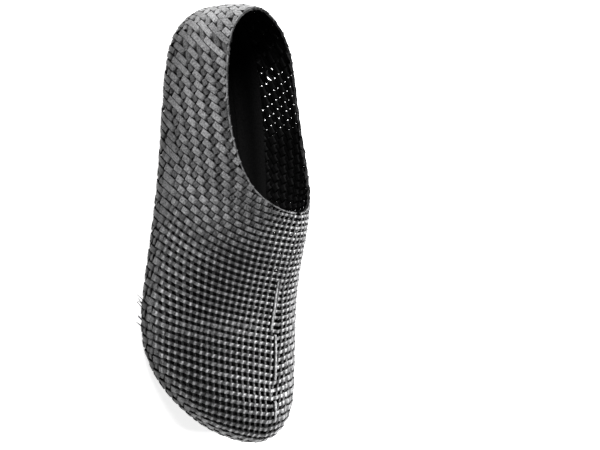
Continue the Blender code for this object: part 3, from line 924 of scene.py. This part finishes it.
def printed_material(name, dark, light, roughness, bump, shine=0.5):
    """Printed plastic: grainy and matt, from dark at tint 0 to light at tint 1."""
    material = bpy.data.materials.new(name)
    material.use_nodes = True
    tree = material.node_tree
    shader = tree.nodes["Principled BSDF"]
    shader.inputs["Specular IOR Level"].default_value = shine
    place = add_node(tree, "ShaderNodeTexCoord").outputs["Object"]
    tint = add_node(tree, "ShaderNodeAttribute", attribute_name="strand_tint").outputs["Fac"]

    def noise(scale, detail):
        inputs = {"Vector": place, "Scale": scale, "Detail": detail}
        return add_node(tree, "ShaderNodeTexNoise", inputs).outputs["Fac"]

    grain = noise(GRAIN_SCALE, GRAIN_DETAIL)
    mottle = map_range(tree, noise(MOTTLE_SCALE, MOTTLE_DETAIL), MOTTLE_NOISE, MOTTLE_TINT)
    factors = {0: tint, 1: mottle}
    product = add_node(tree, "ShaderNodeMath", factors, operation="MULTIPLY", use_clamp=True)
    blend = product.outputs["Value"]
    tones = {
        "Factor": blend,
        "A": (dark, dark, dark * BLUE_SHARE, 1),
        "B": (light, light, light * BLUE_SHARE, 1),
    }
    colour = add_node(tree, "ShaderNodeMix", tones, data_type="RGBA")
    gloss = (roughness + GLOSS_SPREAD[0], roughness + GLOSS_SPREAD[1])
    sheen = (shine * DULL_SHARE, shine)
    bumps = {"Strength": bump, "Distance": GRAIN_HEIGHT, "Height": grain}
    relief = add_node(tree, "ShaderNodeBump", bumps)
    for socket, source in (
        ("Base Color", colour.outputs["Result"]),
        ("Specular IOR Level", map_range(tree, blend, (0, DULL_BELOW), sheen)),
        ("Roughness", map_range(tree, grain, (0, 1), gloss)),
        ("Normal", relief.outputs["Normal"]),
    ):
        tree.links.new(source, shader.inputs[socket])
    return material


WEAVE_FINISH = printed_material("printed_weave", dark=0.002, light=0.64, roughness=0.34, bump=0.5)
# A darker, duller copy of the print for faces turned into the shoe: painted shade.
INSIDE_PAINTED_SHADE = printed_material(
    "printed_inside_painted_shade", dark=0.003, light=0.42, roughness=0.6, bump=0.4, shine=0.3
)
TREAD_FINISH = printed_material("printed_tread", dark=0.002, light=0.17, roughness=0.42, bump=0.5)
# Near-black for the footbed and the sole's lining: black print, darkened further as painted shade
# inside the shoe.
FOOTBED_BLACK_AND_SHADE = printed_material(
    "footbed_black_and_painted_shade", dark=0.002, light=0.009, roughness=0.7, bump=0.6, shine=0.06
)


def finish_piece(piece, node):
    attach(piece, "root")
    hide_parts(node)


HALVES = {"lateral": Half(False), "medial": Half(True)}


def build_upper():
    """The woven wall: the rows and the columns of each side."""
    for side, half in HALVES.items():
        for family, lines in weave_strands(half, "wall").items():
            name = f"weave_{family}s_{side}"
            piece = sweep_lines(name, lines, WEAVE_FINISH, INSIDE_PAINTED_SHADE, WEAVE_CORNER)
            finish_piece(piece, "upper")


def build_collar():
    """The bead along the collar's edge."""
    turns = np.mod(np.linspace(-0.5, 0.5, COLLAR_SAMPLES), 1.0)
    rises = collar_rise(turns)
    held = rises < NO_COLLAR
    turns = turns[held]
    rises = rises[held]
    points = surface(turns, rises)
    gone = walked(points)
    even = np.linspace(0, gone[-1], int(gone[-1] / STRAND_STEP))
    turns = np.interp(even, gone, np.where(turns > 0.5, turns - 1, turns))
    rises = np.interp(even, gone, rises)
    normals = outward_normal(turns, rises)
    knots = even[::2]
    wander = np.interp(even, knots, CHANCE.uniform(*COLLAR_WANDER_MM, len(knots)) * MM)
    width = np.interp(even, knots, CHANCE.uniform(*COLLAR_WIDTH_MM, len(knots)) * MM)
    tint = np.interp(even, knots, CHANCE.uniform(*COLLAR_TINT, len(knots)))
    points = surface(turns, rises) + normals * (WALL_MIDDLE + wander)[:, None]
    line = Line(points, normals, width, COLLAR_DEPTH, tint)
    piece = sweep_lines("collar_edge", [line], WEAVE_FINISH, INSIDE_PAINTED_SHADE, COLLAR_CORNER)
    finish_piece(piece, "upper")


def build_ridge():
    """The raised line along the middle of the instep, in three pieces down to the toe."""
    lines = []
    for places, tints in zip(RIDGE_MM, RIDGE_TINTS):
        along, aside = np.array(places, float).T * MM
        even = np.arange(along[0], along[-1], STRAND_STEP)
        points, normals = top_line(even)
        points[:, 1] += np.interp(even, along, aside)
        lines.append(ridge_line(points, normals, tints))
    turns, rises = np.linspace(*RIDGE_TIP, RIDGE_TIP_POINTS).T
    tip = surface(turns, rises)
    lines.append(ridge_line(tip, outward_normal(turns, rises), RIDGE_TINTS[-1]))
    piece = sweep_lines("instep_ridge", lines, WEAVE_FINISH, INSIDE_PAINTED_SHADE)
    finish_piece(piece, "upper")


def ridge_line(points, normals, tints):
    tint = CHANCE.uniform(*tints, len(points))
    width = CHANCE.uniform(*RIDGE_WIDTH_MM, len(points)) * MM
    return Line(points + normals * RIDGE_LIFT, normals, width, RIDGE_DEPTH, tint)


def build_whiskers():
    """Two tufts of print hairs on the outer edge of the forefoot."""
    lines = []
    shares = np.linspace(WHISKER_ROOT, 1, WHISKER_POINTS)[:, None]
    width = np.linspace(*WHISKER_WIDTH_MM, WHISKER_POINTS) * MM
    for turn, rise in WHISKER_PLACES:
        for _ in range(WHISKER_COUNT):
            root_turn = turn + CHANCE.uniform(-WHISKER_SPREAD, WHISKER_SPREAD)
            root = surface(root_turn, rise)
            out = outward_normal(root_turn, rise)
            lean = out + WHISKER_LEAN + CHANCE.uniform(-WHISKER_STRAY, WHISKER_STRAY, 3)
            reach = shares * CHANCE.uniform(*WHISKER_LENGTH_MM) * MM
            normals = np.tile(np.cross(out, [1.0, 0.0, 0.0]), (WHISKER_POINTS, 1))
            lines.append(Line(root + reach * lean, normals, width, WHISKER_DEPTH, WHISKER_TINT))
    piece = sweep_lines("print_whiskers", lines, TREAD_FINISH, TREAD_FINISH)
    finish_piece(piece, "sole")


def build_sole_edge():
    """The open net round the sole's edge, and the rim between it and the tread."""
    lines = []
    for half in HALVES.values():
        strands = weave_strands(half, "edge")
        lines += strands["row"] + strands["column"]
    turns = np.linspace(0, 1, RIM_POINTS)
    rises = np.full(len(turns), RIM_RISE)
    normals = outward_normal(turns, rises)
    rim = surface(turns, rises) - normals * RIM_SINK
    lines.append(Line(rim, normals, RIM_WIDTH, RIM_DEPTH, RIM_TINT))
    piece = sweep_lines("sole_edge_net", lines, TREAD_FINISH, INSIDE_PAINTED_SHADE)
    finish_piece(piece, "sole")


def tread_limits(along):
    """The tread's lateral and medial edge at places along the shoe."""
    lateral_turns = np.linspace(0, 0.5, 800)
    lateral = surface(lateral_turns, -1.0)
    medial = surface(1 - lateral_turns, -1.0)
    low = np.interp(along, lateral[:, 0], lateral[:, 1], left=np.nan, right=np.nan)
    high = np.interp(along, medial[:, 0], medial[:, 1], left=np.nan, right=np.nan)
    return low, high


def tread_line(along, across, height, width, depth):
    """A strand of the tread; height is from the ground to its underside."""
    points = np.stack([along, across, ground_height(along) + height + depth / 2], -1)
    normals = np.tile([0.0, 0.0, -1.0], (len(points), 1))
    return Line(points, normals, width, depth, TREAD_TINT)


def build_tread():
    """Bars along the shoe with short links between them, which leave the tread's windows open."""
    lines = []
    along = np.arange(*TREAD_SPAN_MM) * MM
    low, high = tread_limits(along)
    left_out = np.round(NO_LINKS / TREAD_ROW)
    for number, track in enumerate(np.arange(*TREAD_ACROSS, TREAD_PITCH)):
        held = np.nonzero((track > low - TREAD_REACH) & (track < high + TREAD_REACH))[0]
        across = np.clip(track, low + TREAD_MARGIN, high - TREAD_MARGIN)
        sunk = TREAD_SINK * np.abs(across - track)
        for run in np.split(held, np.nonzero(np.diff(held) > 1)[0] + 1):
            if len(run) >= FEWEST_BAR_POINTS:
                bar = tread_line(along[run], across[run], sunk[run], TREAD_BAR, TREAD_BAR_DEPTH)
                lines.append(bar)
        ahead = 0.5 if number % SHIFT_EVERY == SHIFT_FIRST else 0.0
        middle = track + TREAD_PITCH / 2
        link_across = middle + np.linspace(-0.5, 0.5, 3) * LINK_LENGTH
        for row in range(-LINK_ROWS, LINK_ROWS + 1):
            place = (row + ahead) * TREAD_ROW
            edge_low, edge_high = tread_limits(np.array([place]))
            inside = edge_low[0] + LINK_MARGIN < middle < edge_high[0] - LINK_MARGIN
            if row in left_out or not inside:
                continue
            width = mix(LINK_WIDTH, ease(*LINK_REACH, place))
            link_along = np.full(len(link_across), place)
            lines.append(tread_line(link_along, link_across, LINK_RAISE, width, LINK_DEPTH))
    piece = sweep_lines("sole_tread", lines, TREAD_FINISH, INSIDE_PAINTED_SHADE)
    finish_piece(piece, "sole")


def fan_shell(name, upper_rings, lower_rings, material, tint):
    """A closed shell between two stacks of rings, each going from its middle line to its rim."""
    stack = list(upper_rings) + list(reversed(lower_rings))
    count = len(stack[0])
    points = np.concatenate(stack)
    faces = []
    for level in range(len(stack) - 1):
        for k in range(count):
            here = level * count + k
            beside = level * count + (k + 1) % count
            faces.append((here, here + count, beside + count, beside))
    under_middle = (len(stack) - 1) * count
    for k in range(count // 2):
        strip = list(dict.fromkeys((k, k + 1, count - k - 1, (count - k) % count)))
        faces.append(strip)
        faces.append([under_middle + corner for corner in reversed(strip)])
    mesh = bpy.data.meshes.new(name)
    mesh.from_pydata((points + CENTRING).tolist(), [], faces)
    tints = mesh.attributes.new("strand_tint", "FLOAT", "POINT")
    tints.data.foreach_set("value", np.full(len(points), tint))
    mesh.update()
    mesh.shade_smooth()
    mesh.materials.append(material)
    piece = bpy.data.objects.new(name, mesh)
    bpy.context.collection.objects.link(piece)
    return piece


def inner_ring(inset, share, height):
    """A ring on the floor, from the middle line at share 0 to inset from the tread's edge at 1."""
    rim = surface(RING_TURNS, -1.0)[:, :2]
    spine_x = np.clip(rim[:, 0], *SPINE_ENDS)
    low, high = tread_limits(spine_x)
    spine = np.stack([spine_x, (low + high) / 2], -1)
    out = rim - spine
    out = out * (1 - inset / np.linalg.norm(out, axis=-1, keepdims=True))
    plan = spine + out * share
    return np.concatenate([plan, (ground_height(plan[:, 0]) + height)[:, None]], -1)


def build_sole_lining():
    """Near-black skin inside the sole, painted shade seen through the tread's windows and the net.
    """
    low = [inner_ring(0.0, share, LINING_OUTSIDE) for share in LINING_SHARES]
    high = [inner_ring(LINING_INSET, share, LINING_INSIDE) for share in LINING_SHARES]
    for rise in LINING_RISES:
        base = surface(RING_TURNS, rise)
        normal = outward_normal(RING_TURNS, rise)
        low.append(base - normal * LINING_OUTSIDE)
        high.append(base - normal * LINING_INSIDE)
    piece = fan_shell("sole_lining", high, low, FOOTBED_BLACK_AND_SHADE, PAD_TINT)
    finish_piece(piece, "sole")


def build_footbed():
    """The insole: a soft black pad, a little dished, with a rolled rim; near-black, as painted
    shade.
    """
    top = [inner_ring(FOOTBED_INSET, share, height * MM) for share, height in FOOTBED_TOP]
    under = [inner_ring(FOOTBED_INSET, share, FOOTBED_UNDERSIDE) for share in FOOTBED_UNDER_SHARES]
    piece = fan_shell("footbed", top, under, FOOTBED_BLACK_AND_SHADE, PAD_TINT)
    finish_piece(piece, "insole")


FLOOR_SIZE = 6
FLOOR_DROP = 0.2 * MM  # the floor lies this far under the sole
FLOOR_TONE = 0.9
FLOOR_ROUGHNESS = 0.8
FLOOR_GLOW = 0.8
SKY_STRENGTH = 0.12
LIGHT_TARGET = Vector((0, 0, 30 * MM))


def build_stage():
    """The pale floor under the shoe."""
    bpy.ops.mesh.primitive_plane_add(size=FLOOR_SIZE)
    floor = bpy.context.object
    floor.name = "floor"
    floor.location.z = -FLOOR_DROP
    material = bpy.data.materials.new("pale_floor")
    material.use_nodes = True
    shader = material.node_tree.nodes["Principled BSDF"]
    shader.inputs["Base Color"].default_value = (FLOOR_TONE, FLOOR_TONE, FLOOR_TONE, 1)
    shader.inputs["Roughness"].default_value = FLOOR_ROUGHNESS
    shader.inputs["Emission Color"].default_value = (1, 1, 1, 1)
    shader.inputs["Emission Strength"].default_value = FLOOR_GLOW
    floor.data.materials.append(material)


def add_softbox(name, direction, distance, size, power):
    light = bpy.data.lights.new(name, "AREA")
    light.shape = "DISK"
    light.size = size
    light.energy = power
    lamp = bpy.data.objects.new(name, light)
    aim = Vector(direction).normalized()
    lamp.location = aim * distance + LIGHT_TARGET
    lamp.rotation_euler = aim.to_track_quat("Z", "Y").to_euler()
    bpy.context.collection.objects.link(lamp)


def build_light():
    """A pale sky and two softboxes."""
    world = bpy.data.worlds.new("studio")
    world.use_nodes = True
    sky = world.node_tree.nodes["Background"]
    sky.inputs["Color"].default_value = (1, 1, 1, 1)
    sky.inputs["Strength"].default_value = SKY_STRENGTH
    bpy.context.scene.world = world
    add_softbox("key", direction=(0.16, 0.79, 0.59), distance=1.3, size=0.6, power=40)
    add_softbox("fill", direction=(-0.70, -0.38, 0.60), distance=1.5, size=0.9, power=30)


CAMERA_DISTANCE = 1.102
FOCAL_PIXELS = 1711.0
VIEW_LEAN = 0.714
VIEW_SWING = -0.024
VIEW_ROLL = 0.014
AIM_PIXEL = (231.9, 224.6)
IMAGE_SIZE = (600, 450)
SENSOR_WIDTH = 36
AIM_POINT = LIGHT_TARGET + Vector(CENTRING)


def build_camera():
    """A camera that sees the shoe as the photograph does, with its toe down in the picture."""
    back = Vector((
        -np.sin(VIEW_SWING),
        -np.cos(VIEW_SWING) * np.sin(VIEW_LEAN),
        np.cos(VIEW_SWING) * np.cos(VIEW_LEAN),
    ))
    toe = Vector((1, 0, 0))
    down = (toe - back * toe.dot(back)).normalized()
    right = down.cross(-back)
    roll_cos = np.cos(VIEW_ROLL)
    roll_sin = np.sin(VIEW_ROLL)
    right, down = right * roll_cos + down * roll_sin, down * roll_cos - right * roll_sin
    off_right = (AIM_PIXEL[0] - IMAGE_SIZE[0] / 2) / FOCAL_PIXELS
    off_down = (AIM_PIXEL[1] - IMAGE_SIZE[1] / 2) / FOCAL_PIXELS
    forward = (-back - right * off_right - down * off_down).normalized()
    right = (right - forward * right.dot(forward)).normalized()
    down = forward.cross(right)
    data = bpy.data.cameras.new("camera")
    data.sensor_width = SENSOR_WIDTH
    data.lens = FOCAL_PIXELS * SENSOR_WIDTH / IMAGE_SIZE[0]
    camera = bpy.data.objects.new("camera", data)
    place = AIM_POINT + back * CAMERA_DISTANCE
    turn = Matrix((right, -down, -forward)).transposed()
    camera.matrix_world = Matrix.Translation(place) @ turn.to_4x4()
    bpy.context.collection.objects.link(camera)
    bpy.context.scene.camera = camera


build_upper()
build_collar()
build_ridge()
build_sole_edge()
build_whiskers()
build_tread()
build_sole_lining()
build_footbed()
build_stage()
build_light()
build_camera()
bpy.context.scene.view_settings.view_transform = "Standard"
